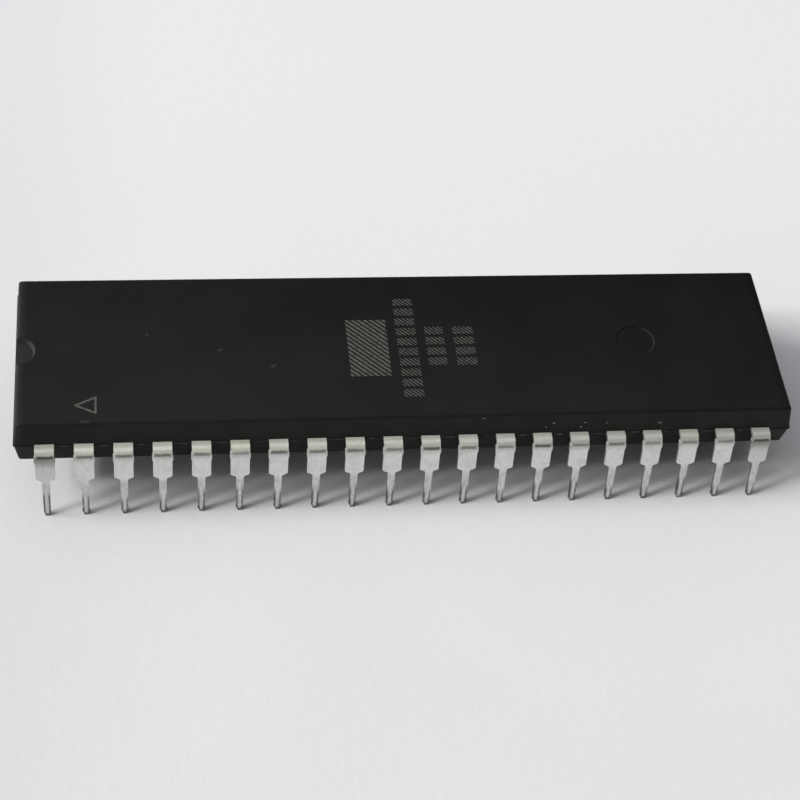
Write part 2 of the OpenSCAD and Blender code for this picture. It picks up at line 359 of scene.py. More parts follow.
class Finish:
    """A procedural material in the making: its tree, the point that is shaded, and the shared effects."""

    def __init__(self, name: str, effects: Effects) -> None:
        """Makes an empty material.

        Args:
            name: Name of the material.
            effects: The shared groups.
        """
        self.effects = effects
        self.sizes = effects.sizes
        self.material = bpy.data.materials.new(name)
        self.material.use_nodes = True
        self.material.node_tree.nodes.clear()
        self.graph = Graph(self.material.node_tree)
        self.point = self.graph.add("ShaderNodeTexCoord").outputs["Object"]
        self.x, self.y, self.z = self.graph.parts(self.point)

    def smudges(self, scale: float, spread: float, softness: float, point: Optional[Socket] = None) -> Socket:
        """Adds cloudy stains and returns their mask."""
        node = self.graph.group(self.effects.smudges, Point=self.point if point is None else point,
                                Scale=scale, Spread=spread, Softness=softness)
        return node.outputs["Mask"]

    def speckle(self, colour: Socket, scale: float, contrast: float) -> tuple[Socket, Socket]:
        """Speckles a colour with fine grain, and returns it with the height of the grain."""
        node = self.graph.group(self.effects.grain, Point=self.point, Scale=scale, Contrast=contrast)
        return self.graph.tint(colour, node.outputs["Shade"]), node.outputs["Height"]

    def bump(self, height: Socket, depth: float, normal: Optional[Socket] = None) -> Socket:
        """Turns a height of 0 to 1 into a normal, on top of a coarser one."""
        node = self.graph.add("ShaderNodeBump", {"Height": height, "Distance": depth, "Strength": 1.0})
        if normal is not None:
            self.graph.feed(node.inputs["Normal"], normal)
        return node.outputs[0]

    def close(self, colour: Socket, roughness: Value, normal: Socket, **plain: Value) -> None:
        """Adds the shader and the output.

        Args:
            colour: Base colour.
            roughness: Roughness.
            normal: Normal of the surface.
            **plain: Other inputs of the shader by their names, with an underscore for each space.
        """
        g = self.graph
        inputs = {"Base Color": colour, "Roughness": roughness, "Normal": normal}
        inputs.update({name.replace("_", " "): value for name, value in plain.items()})
        shader = g.add("ShaderNodeBsdfPrincipled", inputs)
        g.add("ShaderNodeOutputMaterial", {"Surface": shader.outputs[0]})


@dataclass(frozen=True)
class HatchedField:
    """A rectangle of slanting laser strokes, which can be split into equal cells along Y."""

    centre: Point
    half: Point
    pitch: float = 0.3 * MM
    ink: float = 0.4
    cells: int = 1
    filled: float = 0.7
    softness: float = 0.04 * MM

    def mask(self, finish: Finish, flat: Socket) -> Socket:
        """Adds the field to a material.

        Args:
            finish: The material.
            flat: The point, laid in the plane of the board.

        Returns:
            A mask that is 1 on the strokes.
        """
        g = finish.graph
        inside = g.group(finish.effects.patch, Point=flat, Centre=self.centre, Half_size=self.half,
                         Softness=self.softness)
        slant = g.math("DIVIDE", g.plus(finish.x, finish.y), self.pitch)
        mask = g.times(inside.outputs[0], self._share(g, slant, self.ink, 0.08))
        if self.cells > 1:
            near_edge = self.centre[1] - self.half[1]
            row = g.math("DIVIDE", g.minus(finish.y, near_edge), 2 * self.half[1] / self.cells)
            mask = g.times(mask, self._share(g, row, self.filled, 0.03))
        return mask

    @staticmethod
    def _share(g: Graph, count: Value, share: float, soft: float) -> Socket:
        """Gives a mask that is 1 over a share of each unit of a count."""
        edge = (1 - share) / 2
        return g.ramp(g.math("PINGPONG", count, 0.5), edge - soft, edge + soft)


@dataclass(frozen=True)
class LaserMarks:
    """Plain laser marks on the top face: the sign of lead 1, and hatched fields where text would be."""

    triangle: tuple[Point, ...] = (mm(-22.08, -4.92, 0.0), mm(-20.78, -4.27, 0.0), mm(-20.78, -5.6, 0.0))
    stroke: float = 0.09 * MM
    softness: float = 0.05 * MM
    face: Span = mm(6.9, 7.0)
    fields: tuple[HatchedField, ...] = (
        HatchedField(mm(-2.45, -0.28, 0.0), mm(1.4, 2.6, 0.0), pitch=0.42 * MM, ink=0.56),
        HatchedField(mm(0.28, -0.24, 0.0), mm(0.7, 4.66, 0.0), cells=10),
        HatchedField(mm(2.22, -0.2, 0.0), mm(0.66, 1.9, 0.0), cells=4),
        HatchedField(mm(4.23, -0.22, 0.0), mm(0.72, 1.92, 0.0), cells=4),
    )

    def mask(self, finish: Finish) -> Socket:
        """Adds the marks to a material.

        Args:
            finish: The material.

        Returns:
            A mask that is 1 where the laser has marked the face.
        """
        g = finish.graph
        flat = g.join(finish.x, finish.y, 0.0)
        corners = self.triangle
        strokes = [
            g.group(finish.effects.stroke, Point=flat, Start=corners[i], End=corners[(i + 1) % 3],
                    Half_width=self.stroke / 2, Softness=self.softness).outputs[0]
            for i in range(3)
        ]
        marks = strokes[0]
        for mask in strokes[1:] + [hatched.mask(finish, flat) for hatched in self.fields]:
            marks = g.math("MAXIMUM", marks, mask)
        return g.times(marks, g.ramp(finish.z, *self.face))


@dataclass(frozen=True)
class MouldingFinish:
    """Satin black epoxy moulding compound with its laser marks, handling marks, pale flash, painted sheen and
    painted highlights.
    """

    dark: Colour = (0.006, 0.006, 0.0058)
    light: Colour = (0.0158, 0.0158, 0.0148)
    # Paler colour of the notched end's upper edge: partly wear, partly painted highlight.
    rubbed_and_lit: Colour = (0.036, 0.032, 0.028)
    cavity: Colour = (0.025, 0.0245, 0.0235)
    # Painted highlight on the notch wall that faces the lamps.
    cavity_wall_highlight: Colour = (0.062, 0.06, 0.057)
    mark: Colour = (0.15, 0.147, 0.134)
    flash: Colour = (0.05, 0.049, 0.045)
    lower: Colour = (0.0165, 0.0145, 0.0125)
    scuff: Colour = (0.05, 0.049, 0.046)
    scuffs: tuple[tuple[Point, Point], ...] = (
        (mm(-21.72, -6.35, 0.0), mm(-21.25, -6.33, 0.0)),
        (mm(-17.38, 1.27, 0.0), mm(-17.34, 1.25, 0.0)),
        (mm(-12.6, -0.3, 0.0), mm(-12.4, -0.2, 0.0)),
        (mm(-9.1, -1.85, 0.0), mm(-8.85, -1.72, 0.0)),
    )
    scuff_half_width: float = 0.045 * MM
    scuff_softness: float = 0.09 * MM
    dimple: Point = mm(16.28, 0.0, 0.0)
    dimple_radius: float = 1.33 * MM
    notch: Point = mm(-25.95, 0.0, 6.65)
    notch_radius: float = 1.35 * MM
    notch_fade: float = 0.15 * MM
    middle_tone: float = 0.45
    # Painted sheen: how far the tone falls along the body and across it.
    painted_sheen_along: float = 0.5
    painted_sheen_across: float = 0.75
    cloud_tone: float = 0.9
    side_tone: float = 0.75
    lower_share: float = 0.7
    rubbed_and_lit_share: float = 0.85
    scuff_share: float = 0.6
    rim_share: float = 0.5
    flash_share: float = 0.6
    mark_share: float = 0.8
    roughness: float = 0.5
    uneven_roughness: float = 0.06
    specular: float = 0.11
    soft_edge: float = 0.9 * MM
    soft_depth: float = 0.1 * MM
    grain_scale: float = 5200.0
    grain_depth: float = 0.006 * MM
    top_edge: Span = mm(6.95, 6.85)
    near_side: Span = mm(-6.2, -6.5)
    rubbed_and_lit_heights: Span = mm(5.6, 6.6)
    notch_lip: Span = mm(7.045, 7.0)
    notch_floor: Span = mm(6.67, 6.8)
    lit_notch_wall: Span = mm(0.45, 1.15)
    flash_height: Span = mm(0.03, 0.07)
    rim_width: Span = mm(0.02, 0.09)
    rim_side: Span = mm(0.2, 1.1)
    scuff_heights: Span = mm(6.7, 6.9)
    lower_fade: float = 0.1 * MM
    patch_levels: Span = (0.3, 0.7)
    marks: LaserMarks = field(default_factory=LaserMarks)

    def build(self, effects: Effects) -> bpy.types.Material:
        """Builds the material.

        Args:
            effects: The shared groups.

        Returns:
            The material.
        """
        finish = Finish("Black moulding compound", effects)
        g = finish.graph
        colour = g.mix(self._tone(finish), self.dark, self.light)
        parting = finish.sizes.part_height
        below = g.ramp(finish.z, parting, parting - self.lower_fade)
        colour = g.mix(g.times(below, self.lower_share), colour, self.lower)
        # Upper edge of the notched end: partly wear, partly painted highlight.
        colour = g.mix(self._rubbed_and_lit_end(finish), colour, self.rubbed_and_lit)
        # Painted highlight on the notch's right-hand wall, which faces the lamps.
        in_notch, lit_wall = self._notch(finish)
        colour = g.mix(in_notch, colour, g.mix(lit_wall, self.cavity, self.cavity_wall_highlight))
        colour = g.mix(self._scuffs(finish), colour, self.scuff)
        colour, grain = finish.speckle(colour, self.grain_scale, contrast=0.16)
        colour = g.mix(self._flash_line(finish), colour, self.flash)
        worn = finish.smudges(scale=6000.0, spread=0.62, softness=0.25)
        marked = g.times(self.marks.mask(finish), g.times(worn, self.mark_share))
        colour = g.mix(marked, colour, self.mark)
        patches = g.noise(finish.point, scale=420.0, detail=3.0)
        least, most = self.roughness - self.uneven_roughness, self.roughness + self.uneven_roughness
        normal = finish.bump(self._soft_edges(finish), self.soft_depth)
        normal = finish.bump(grain, self.grain_depth, normal)
        roughness = g.ramp(patches, *self.patch_levels, least, most)
        finish.close(colour, roughness, normal, Specular_IOR_Level=self.specular)
        return finish.material

    def _tone(self, finish: Finish) -> Socket:
        """Gives the share of the light tone: clouded, with a painted sheen that is less towards the far side
        and the right end, and rising towards the right end on the near side face.
        """
        g = finish.graph
        # Painted sheen: the top face darkens towards the right end and the far side.
        painted_sheen_x = g.times(finish.x, -self.painted_sheen_along / finish.sizes.body_length)
        painted_sheen_y = g.times(finish.y, -self.painted_sheen_across / finish.sizes.body_width)
        clouds = g.minus(g.noise(finish.point, scale=160.0, detail=3.0), 0.5)
        clouds = g.times(clouds, self.cloud_tone)
        on_side = g.times(g.ramp(finish.z, *self.top_edge), g.ramp(finish.y, *self.near_side))
        rise = g.ramp(finish.x, -finish.sizes.half_length, finish.sizes.half_length, 0.0, self.side_tone)
        tone = g.plus(g.plus(g.plus(painted_sheen_x, painted_sheen_y), clouds), self.middle_tone)
        return g.plus(tone, g.times(on_side, rise), clamp=True)

    def _rubbed_and_lit_end(self, finish: Finish) -> Socket:
        """Gives the mask of the upper edge of the notched end, partly rubbed paler by handling and partly a
        painted highlight where the end faces the lamps.
        """
        g = finish.graph
        from_end = g.plus(finish.sizes.half_length, finish.x)
        rubbed_and_lit = g.times(g.ramp(from_end, self.soft_edge, 0.0), g.ramp(finish.z, *self.rubbed_and_lit_heights))
        return g.times(rubbed_and_lit, self.rubbed_and_lit_share)

    def _notch(self, finish: Finish) -> tuple[Socket, Socket]:
        """Gives the mask of the notch, and the share of it that is its right-hand wall, which gets a painted
        highlight where it faces the lamps.
        """
        g = finish.graph
        away = g.vector("DISTANCE", finish.point, self.notch, output="Value")
        inside = g.ramp(away, self.notch_radius, self.notch_radius - self.notch_fade)
        inside = g.times(inside, g.ramp(finish.z, *self.notch_lip))
        start, end = (self.notch[0] + inwards for inwards in self.lit_notch_wall)
        at_lit_wall = g.ramp(finish.x, start, end)
        return inside, g.times(g.ramp(finish.z, *self.notch_floor), at_lit_wall)

    def _flash_line(self, finish: Finish) -> Socket:
        """Gives the mask of the pale flash along the parting line, broken here and there."""
        g = finish.graph
        off_line = g.math("ABSOLUTE", g.minus(finish.z, finish.sizes.part_height))
        rim = g.ramp(off_line, *self.flash_height, 1.0, 0.0)
        broken = finish.smudges(scale=900.0, spread=0.48, softness=0.08)
        return g.times(rim, g.times(broken, self.flash_share))

    def _scuffs(self, finish: Finish) -> Socket:
        """Gives the mask of the faint scuffs on the top face, and of a paler arc on the right-hand part of
        its dimple's rim.
        """
        g = finish.graph
        flat = g.join(finish.x, finish.y, 0.0)
        from_middle = g.vector("DISTANCE", flat, self.dimple, output="Value")
        off_rim = g.math("ABSOLUTE", g.minus(from_middle, self.dimple_radius))
        rim = g.ramp(off_rim, *self.rim_width, self.rim_share, 0.0)
        start, end = (self.dimple[0] + along for along in self.rim_side)
        mask = g.times(rim, g.ramp(finish.x, start, end))
        for start, end in self.scuffs:
            stroke = g.group(finish.effects.stroke, Point=flat, Start=start, End=end,
                             Half_width=self.scuff_half_width, Softness=self.scuff_softness)
            mask = g.math("MAXIMUM", mask, g.times(stroke.outputs[0], self.scuff_share))
        return g.times(mask, g.ramp(finish.z, *self.scuff_heights))

    def _soft_edges(self, finish: Finish) -> Socket:
        """Gives a height that is 1 in the middle of the top face and falls within soft_edge of its edges."""
        g = finish.graph
        height: Value = 1.0
        for place, half in ((finish.x, finish.sizes.half_length), (finish.y, finish.sizes.half_width)):
            inwards = g.minus(half, g.math("ABSOLUTE", place))
            share = g.minus(1.0, g.math("DIVIDE", inwards, self.soft_edge, clamp=True))
            height = g.minus(height, g.times(share, share))
        return height


@dataclass(frozen=True)
class LeadPlace:
    """Where a point lies on its own lead, as sockets of one material."""

    across: Socket
    outward: Socket
    height: Socket
    chances: tuple[Socket, Socket, Socket]
    at_ends: Socket
    END_LEADS: ClassVar[Span] = mm(22.0, 23.0)

    @classmethod
    def of(cls, finish: Finish) -> "LeadPlace":
        """Reads the place.

        Args:
            finish: The material.

        Returns:
            The distance from the middle of the lead and from the middle plane, the height, three numbers that
            differ from lead to lead, and a mask that is 1 on the last lead at either end of a row.
        """
        g = finish.graph
        place = g.group(finish.effects.lead_place, Point=finish.point)
        across, outward, height = (place.outputs[name] for name in ("Across", "Outward", "Height"))
        at_ends = g.ramp(g.math("ABSOLUTE", finish.x), *cls.END_LEADS)
        return cls(across, outward, height, g.parts(place.outputs["Chances"]), at_ends)


@dataclass(frozen=True)
class BendCreaseShade:
    """Painted shade across a lead where its bend ends: a dark line, partly the die's mark and partly painted
    shade of the crease, with a painted soft shade under it.
    """

    colour: Colour = (0.09, 0.08, 0.06)
    drop: float = 0.03 * MM
    wobble: float = 0.1 * MM
    half_width: float = 0.06 * MM
    faded_at: float = 0.22 * MM
    half_length: float = 0.46 * MM
    length_faded_at: float = 0.66 * MM
    least_across: float = 0.25
    shift: float = 0.06 * MM
    shift_back: float = 0.01 * MM
    depth: float = 0.6
    depth_spread: float = 0.34
    depth_at_ends: float = 0.25
    shade: float = 0.36
    shade_reach: float = 0.6 * MM
    shade_reach_at_ends: float = 0.5 * MM
    shade_start: Span = mm(0.02, -0.03)
    outer_face: Span = mm(7.4, 7.5)

    def mask(self, finish: Finish, lead: LeadPlace) -> Socket:
        """Adds the crease to a material.

        Args:
            finish: The material.
            lead: Where the point lies on its lead.

        Returns:
            The mask.
        """
        g = finish.graph
        wobble = g.times(g.minus(g.noise(finish.point, scale=2600.0), 0.5), self.wobble)
        above = g.minus(g.plus(lead.height, wobble), finish.sizes.crease_height - self.drop)
        line = g.ramp(g.math("ABSOLUTE", above), self.half_width, self.faded_at, 1.0, 0.0)
        middle = g.minus(g.times(lead.chances[1], self.shift), self.shift_back)
        shifted = g.math("ABSOLUTE", g.minus(lead.across, middle))
        line = g.times(line, g.ramp(shifted, self.half_length, self.length_faded_at, 1.0, self.least_across))
        line = g.times(line, g.ramp(lead.outward, *self.outer_face))
        reach = g.minus(-self.shade_reach, g.times(lead.at_ends, self.shade_reach_at_ends))
        shade = g.plus(self.shade, g.times(lead.at_ends, self.shade))
        soft = g.times(g.ramp(above, 0.0, reach, shade, 0.0), g.ramp(above, *self.shade_start))
        depth = g.plus(self.depth, g.times(lead.chances[2], self.depth_spread))
        depth = g.plus(depth, g.times(lead.at_ends, self.depth_at_ends), clamp=True)
        return g.math("MAXIMUM", g.times(line, depth), soft)


@dataclass(frozen=True)
class TipShadeAndStain:
    """Painted dark reflection and shade that run down both edges of a pin and round its tip, made patchy by
    stains.
    """

    colour: Colour = (0.03, 0.03, 0.033)
    reach: float = 0.7 * MM
    reach_spread: float = 1.1 * MM
    fade_above: float = 0.6 * MM
    fade_below: float = 0.3 * MM
    edge: float = 0.05 * MM
    edge_faded_at: float = 0.16 * MM
    end: float = 0.1 * MM
    end_faded_at: float = 0.34 * MM
    depth: float = 0.6
    dirt_depth: float = 0.35

    def mask(self, finish: Finish, lead: LeadPlace) -> Socket:
        """Adds the stain to a material.

        Args:
            finish: The material.
            lead: Where the point lies on its lead.

        Returns:
            The mask.
        """
        g = finish.graph
        reach = g.plus(self.reach, g.times(lead.chances[0], self.reach_spread))
        low = g.ramp(lead.height, g.plus(reach, self.fade_above), g.minus(reach, self.fade_below))
        sizes = finish.sizes
        inputs = {"Value": lead.height, "From Min": 0.0, "From Max": sizes.tip_length,
                  "To Min": sizes.tip_width / 2, "To Max": (sizes.pin_width - sizes.pin_taper) / 2}
        half = g.add("ShaderNodeMapRange", inputs).outputs[0]
        rim = g.ramp(g.minus(half, g.math("ABSOLUTE", lead.across)), self.edge_faded_at, self.edge)
        end = g.ramp(lead.height, self.end_faded_at, self.end)
        dirt = finish.smudges(scale=3200.0, spread=0.5, softness=0.2)
        # Painted dark reflection and shade, deepened where the stains lie.
        shaded_and_stained = g.times(low, g.math("MAXIMUM", rim, end))
        return g.times(shaded_and_stained, g.plus(self.depth, g.times(dirt, self.dirt_depth)))


@dataclass(frozen=True)
class TinFinish:
    """Matt tin on the leads, streaked on their shoulders with painted shade towards the right end, with
    painted shade at the end of the bend, and painted dark reflection, shade and stains at the tips.
    """

    bright: Colour = (0.88, 0.88, 0.86)
    cream: Colour = (0.88, 0.875, 0.75)
    streak: Colour = (0.62, 0.61, 0.54)
    dull_and_shade: Colour = (0.5, 0.5, 0.48)
    pin: Colour = (0.78, 0.78, 0.775)
    fleck: Colour = (0.4, 0.395, 0.38)
    cut: Colour = (0.26, 0.25, 0.235)
    cut_pin: Colour = (0.12, 0.118, 0.115)
    crease_shade: BendCreaseShade = field(default_factory=BendCreaseShade)
    tip_shade_and_stain: TipShadeAndStain = field(default_factory=TipShadeAndStain)
    cream_share: float = 0.5
    cream_spread: float = 0.45
    streak_scale: Point = (500.0, 5200.0, 5200.0)
    streak_share: float = 0.45
    streak_levels: Span = (0.42, 0.72)
    shoulder_fade: Span = mm(0.04, 0.16)
    pin_fade: Span = mm(0.1, -0.5)
    cut_turn: Span = (0.55, 0.9)
    streak_depth: float = 0.004 * MM
    # Painted shade on the shoulders, from here to the right end of the row.
    painted_shade_from: float = -8.0 * MM
    painted_shade_to: float = 25.0 * MM
    painted_shade_share: float = 0.5
    dull_at_ends: float = 0.32
    cloud_share: float = 0.22
    fleck_stretch: Point = (1.0, 1.0, 0.4)
    fleck_share: float = 0.14
    fleck_share_on_pin: float = 0.26
    cut_share: float = 0.85
    roughness: float = 0.46
    uneven_roughness: float = 0.12
    metallic: float = 0.44

    def build(self, effects: Effects) -> bpy.types.Material:
        """Builds the material.

        Args:
            effects: The shared groups.

        Returns:
            The material.
        """
        finish = Finish("Matt tin", effects)
        g = finish.graph
        lead = LeadPlace.of(finish)
        streak_point = g.vector("MULTIPLY", finish.point, self.streak_scale)
        streaks = g.noise(streak_point, 1.0)
        start, end = (finish.sizes.step_height + rise for rise in self.pin_fade)
        on_pin = g.ramp(lead.height, start, end)
        colour = g.mix(on_pin, self._upper(finish, lead, streaks), self.pin)
        cloud = finish.smudges(scale=1500.0, spread=0.42, softness=0.16)
        colour = g.mix(g.times(cloud, self.cloud_share), colour, self.dull_and_shade)
        drawn = g.vector("MULTIPLY", finish.point, self.fleck_stretch)
        flecks = finish.smudges(scale=5200.0, spread=0.5, softness=0.12, point=drawn)
        fleck_share = g.plus(self.fleck_share, g.times(on_pin, self.fleck_share_on_pin))
        colour = g.mix(g.times(flecks, fleck_share), colour, self.fleck)
        colour, _ = finish.speckle(colour, scale=7000.0, contrast=0.12)
        turned, _, _ = g.parts(g.add("ShaderNodeNewGeometry").outputs["Normal"])
        cut = g.ramp(g.math("ABSOLUTE", turned), *self.cut_turn)
        colour = g.mix(g.times(cut, self.cut_share), colour, g.mix(on_pin, self.cut, self.cut_pin))
        # Painted shade at the end of the bend, over the die's mark.
        colour = g.mix(self.crease_shade.mask(finish, lead), colour, self.crease_shade.colour)
        # Painted dark reflection and shade at the pin's edges and tip, made patchy by stains.
        colour = g.mix(self.tip_shade_and_stain.mask(finish, lead), colour, self.tip_shade_and_stain.colour)
        roughness = g.plus(self.roughness, g.times(cloud, self.uneven_roughness))
        finish.close(colour, roughness, finish.bump(streaks, self.streak_depth), Metallic=self.metallic)
        return finish.material

    def _upper(self, finish: Finish, lead: LeadPlace, streaks: Socket) -> Socket:
        """Gives the colour over the step.

        Args:
            finish: The material.
            lead: Where the point lies on its lead.
            streaks: The streaks of the rolled sheet, from 0 to 1.

        Returns:
            The colour: bright on the faces, creamy and streaked on the shoulders, with painted shade on the
                shoulders towards the right end of the row, duller on the end leads.
        """
        g = finish.graph
        start, end = (finish.sizes.crease_height + rise for rise in self.shoulder_fade)
        shoulder = g.ramp(lead.height, start, end)
        cream = g.plus(g.times(lead.chances[0], self.cream_spread), self.cream_share)
        tone = g.mix(cream, self.bright, self.cream)
        tone = g.mix(g.times(g.ramp(streaks, *self.streak_levels), self.streak_share), tone, self.streak)
        # Painted shade: the shoulders darken towards the right end of the row.
        tone = g.mix(g.ramp(finish.x, self.painted_shade_from, self.painted_shade_to, 0.0, self.painted_shade_share), tone, self.dull_and_shade)
        colour = g.mix(shoulder, self.bright, tone)
        return g.mix(g.times(lead.at_ends, self.dull_at_ends), colour, self.dull_and_shade)


@dataclass(frozen=True)
class PlainFinish:
    """A finish of the parts inside: one colour broken up by grain and smudges."""

    name: str
    colour: Colour
    smudge: Colour
    roughness: float
    metallic: float = 0.0
    smudge_share: float = 0.4
    uneven_roughness: float = 0.1
    grain_scale: float = 5000.0
    relief: float = 0.002 * MM

    def build(self, effects: Effects) -> bpy.types.Material:
        """Builds the material.

        Args:
            effects: The shared groups.

        Returns:
            The material.
        """
        finish = Finish(self.name, effects)
        g = finish.graph
        cloud = finish.smudges(self.grain_scale / 4, spread=0.45, softness=0.15)
        colour = g.mix(g.times(cloud, self.smudge_share), self.colour, self.smudge)
        colour, grain = finish.speckle(colour, self.grain_scale, contrast=0.1)
        roughness = g.plus(self.roughness, g.times(cloud, self.uneven_roughness))
        finish.close(colour, roughness, finish.bump(grain, self.relief), Metallic=self.metallic)
        return finish.material


@dataclass(frozen=True)
class PaperFinish:
    """Pale paper under the part, with painted light towards the far side and painted shade towards the left.
    """

    pale: Colour = (0.872, 0.872, 0.884)
    grey: Colour = (0.85, 0.85, 0.862)
    # Painted light: the paper's colour at the far side.
    far: Colour = (0.925, 0.922, 0.948)
    left_shade: float = 0.93
    left_fade: Span = mm(-14.0, -30.0)
    far_light_fade: Span = mm(-20.0, 40.0)
    cloud_levels: Span = (0.35, 0.65)
    roughness: float = 0.9
    specular: float = 0.2
    relief: float = 0.02 * MM

    def build(self, effects: Effects) -> bpy.types.Material:
        """Builds the material.

        Args:
            effects: The shared groups.

        Returns:
            The material.
        """
        finish = Finish("Pale paper", effects)
        g = finish.graph
        cloud = g.noise(finish.point, scale=55.0, detail=4.0)
        colour = g.mix(g.ramp(cloud, *self.cloud_levels), self.grey, self.pale)
        # Painted light: the paper gets lighter towards the far side.
        colour = g.mix(g.ramp(finish.y, *self.far_light_fade), colour, self.far)
        # Painted shade: the paper gets darker towards the left.
        left_shade_ramp = g.ramp(finish.x, *self.left_fade, 1.0, self.left_shade)
        colour, fibre = finish.speckle(g.tint(colour, left_shade_ramp), scale=1400.0, contrast=0.02)
        normal = finish.bump(fibre, self.relief)
        finish.close(colour, self.roughness, normal, Specular_IOR_Level=self.specular)
        return finish.material


class RepeatedPiece:
    """A piece whose copies a Geometry Nodes tree sets out, made a plain mesh that rides on the part."""

    def __init__(self, name: str, slot: Slot, material: bpy.types.Material, seed: int) -> None:
        """Starts the tree.

        Args:
            name: Name of the piece.
            slot: Material slot of the record; not used.
            material: Its finish.
            seed: Seed of its random sizes.
        """
        self.name = name
        self.slot = slot
        self.material = material
        self.maker = GroupMaker(name, "GeometryNodeTree")
        self.graph = self.maker.graph
        self.values: dict[str, object] = {}
        self.places: list[Point] = []
        self.points = self.maker.input("Geometry", "NodeSocketGeometry")
        self.seed = self.size("Seed", seed)

    def size(self, name: str, value: Union[int, Vector]) -> Socket:
        """Adds a named input to the tree and keeps the value that the modifier gives it."""
        self.values[name] = value
        return self.maker.input(name, type(value))

    def line(self, count: int, first: Vector, pitch: float) -> Socket:
        """Sets out points along the near row.

        Args:
            count: Number of points.
            first: The first of them.
            pitch: Distance from one to the next.

        Returns:
            The points.
        """
        inputs = {
            "Count": self.size("Copies in a row", count),
            "Start Location": self.size("First copy", first),
            "Offset": self.size("Step", Vector((pitch, 0.0, 0.0))),
        }
        return self.graph.add("GeometryNodeMeshLine", inputs, mode="OFFSET", count_mode="TOTAL").outputs[0]

    def chance(self, low: Value, high: Value) -> Socket:
        """Draws a vector between two others for each point."""
        inputs = {"Min": low, "Max": high, "Seed": self.seed}
        return self.graph.add("FunctionNodeRandomValue", inputs, data_type="FLOAT_VECTOR").outputs[0]

    def copies(self, points: Socket, ball: Socket, half: Vector, least: Vector, most: Vector,
               turn: Optional[Vector] = None) -> Socket:
        """Puts a stretched ball of random size on each point.

        Args:
            points: The points.
            ball: A ball of radius 1.
            half: Half of the ball's size along each axis.
            least: Least scale along each axis.
            most: Most scale along each axis.
            turn: Turn of every copy about the axes.

        Returns:
            The copies.
        """
        stretch = self.size("Half size", half)
        shape = self.graph.add("GeometryNodeTransform", {"Geometry": ball, "Scale": stretch})
        scale = self.chance(self.size("Least scale", least), self.size("Most scale", most))
        inputs = {"Points": points, "Instance": shape.outputs[0], "Scale": scale}
        if turn is not None:
            inputs["Rotation"] = self.size("Turn", turn)
        return self.graph.add("GeometryNodeInstanceOnPoints", inputs).outputs[0]

    def both_rows(self, near: Socket) -> Socket:
        """Adds the copies of the far row, which are those of the near row turned half round."""
        far = self.graph.add("GeometryNodeTransform", {"Geometry": near, "Rotation": (0.0, 0.0, math.pi)})
        both = self.graph.add("GeometryNodeJoinGeometry", {0: near})
        self.graph.feed(both.inputs[0], far.outputs[0])
        return both.outputs[0]

    def make(self, shape: Socket) -> bpy.types.Object:
        """Ends the tree in real, smooth faces with the finish, runs it and puts its result on the part.

        Args:
            shape: The geometry with its copies.

        Returns:
            The finished piece.
        """
        g = self.graph
        real = g.add("GeometryNodeRealizeInstances", {"Geometry": shape}).outputs[0]
        smooth = g.add("GeometryNodeSetShadeSmooth", {"Geometry": real, "Shade Smooth": True}).outputs[0]
        finish = self.maker.input("Finish", "NodeSocketMaterial")
        self.values["Finish"] = self.material
        dressed = g.add("GeometryNodeSetMaterial", {"Geometry": smooth, "Material": finish}).outputs[0]
        self.maker.output("Geometry", "NodeSocketGeometry", dressed)
        mesh = bpy.data.meshes.new(self.name)
        mesh.from_pydata(self.places, [], [])
        maker = bpy.data.objects.new(self.name + "_maker", mesh)
        bpy.context.scene.collection.objects.link(maker)
        modifier = maker.modifiers.new("Copies", "NODES")
        modifier.node_group = self.maker.tree
        for item in self.maker.tree.interface.items_tree:
            if item.in_out == "INPUT" and item.name in self.values:
                modifier[item.identifier] = self.values[item.name]
        evaluated = maker.evaluated_get(bpy.context.evaluated_depsgraph_get())
        result = bpy.data.meshes.new_from_object(evaluated)
        maker.modifiers.remove(modifier)
        bpy.data.objects.remove(maker)
        piece = bpy.data.objects.new(self.name, result)
        bpy.context.scene.collection.objects.link(piece)
        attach(piece, BODY)
        log.info("%s: %d faces", self.name, len(result.polygons))
        return piece


@dataclass
class TinBeads:
    """Beads of tin round the tips of the leads, which make them rounder and a little thicker."""

    sizes: PackageSizes
    width: float = 0.54 * MM
    thickness: float = 0.34 * MM
    length: float = 0.62 * MM
    uneven: float = 0.12
    seed: int = 5

    def build(self, material: bpy.types.Material) -> bpy.types.Object:
        """Builds a bead for each lead of both rows.

        Args:
            material: The tin.

        Returns:
            The piece.
        """
        piece = RepeatedPiece("tin_beads", Slot.TINNED_LEAD, material, self.seed)
        sizes = self.sizes
        tip_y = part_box("lead_01")[0].y
        lean = math.radians(sizes.splay_deg)
        centre_z = self.length / 2
        centre_y = tip_y + centre_z * math.tan(lean) + sizes.sheet / 2
        first = Vector((-(sizes.leads_in_row - 1) * sizes.pitch / 2, centre_y, centre_z))
        half = Vector((self.width / 2, self.thickness / 2, self.length / 2))
        least = Vector((1 - self.uneven, 1 - self.uneven, 1 - self.uneven))
        line = piece.line(sizes.leads_in_row, first, sizes.pitch)
        ball = piece.graph.add("GeometryNodeMeshUVSphere", {"Segments": 14, "Rings": 10, "Radius": 1.0})
        most, turn = Vector((1.0, 1.0, 1.0)), Vector((-lean, 0.0, 0.0))
        near = piece.copies(line, ball.outputs[0], half, least, most, turn)
        return piece.make(piece.both_rows(near))


